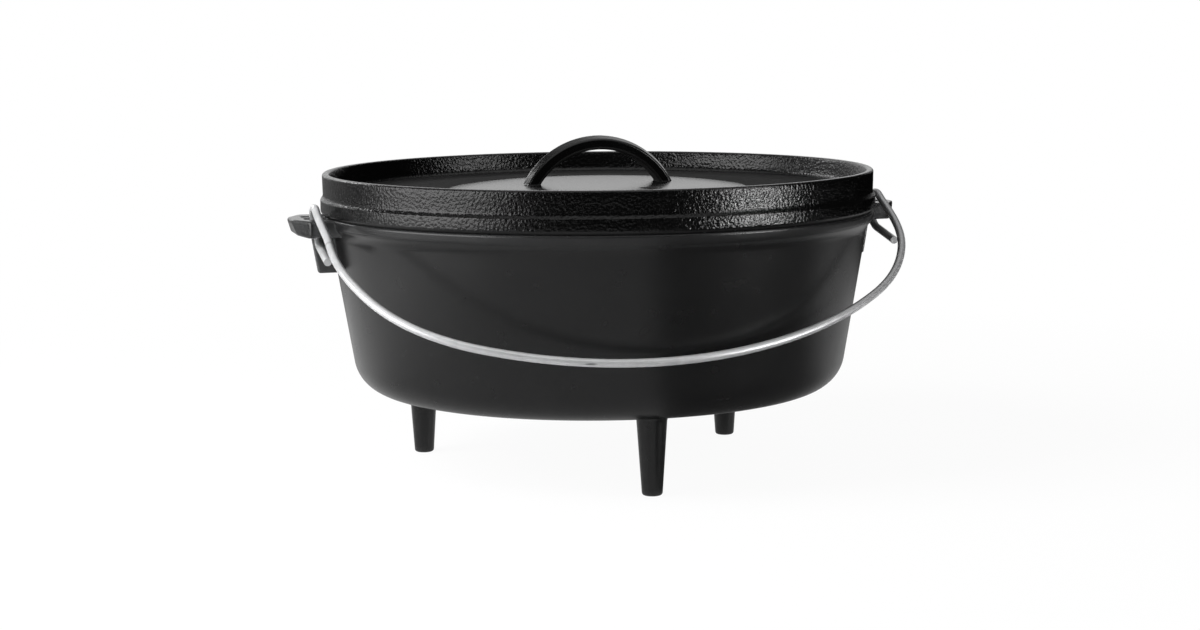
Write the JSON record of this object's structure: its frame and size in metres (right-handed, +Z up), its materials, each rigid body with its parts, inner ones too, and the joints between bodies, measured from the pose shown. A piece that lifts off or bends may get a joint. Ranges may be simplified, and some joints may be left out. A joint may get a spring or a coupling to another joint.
{
  "type": "camp dutch oven",
  "caption": "Round cast-iron camp cooking pot on short legs, with a lipped lid that holds coals, an arched lid handle and a wire bail hooked to its ears.",
  "frame": {"origin": "on the floor under the middle of the pot, where the feet stand", "axes": "+Z up; +X through the right-hand ear; -Y towards the front leg and the resting bail"},
  "size_m": [0.3626, 0.3226, 0.1917],
  "materials": {
    "pot_iron": "seasoned, satin black",
    "lid_iron": "seasoned, sand-cast texture",
    "bail_wire": "zinc-plated wire"
  },
  "bodies": {
    "pot": {"pot_shell": "pot_iron", "ear_left": "pot_iron", "ear_right": "pot_iron", "leg_front": "pot_iron", "leg_rear_left": "pot_iron", "leg_rear_right": "pot_iron"},
    "lid": {"lid_plate": "lid_iron", "lid_rim": "lid_iron", "lid_handle": "lid_iron"},
    "bail": {"bail": "bail_wire"}
  },
  "joints": [
    {"name": "bail_swing", "type": "hinge", "parent": "pot", "child": "bail", "pos_m": [0, -0.0175, 0.1441], "axis": [1, 0, 0], "range_deg": [-130, 0]},
    {"name": "lid_lift", "type": "slide", "parent": "pot", "child": "lid", "axis": [0, 0, 1], "range_m": [0, 0.17]}
  ]
}
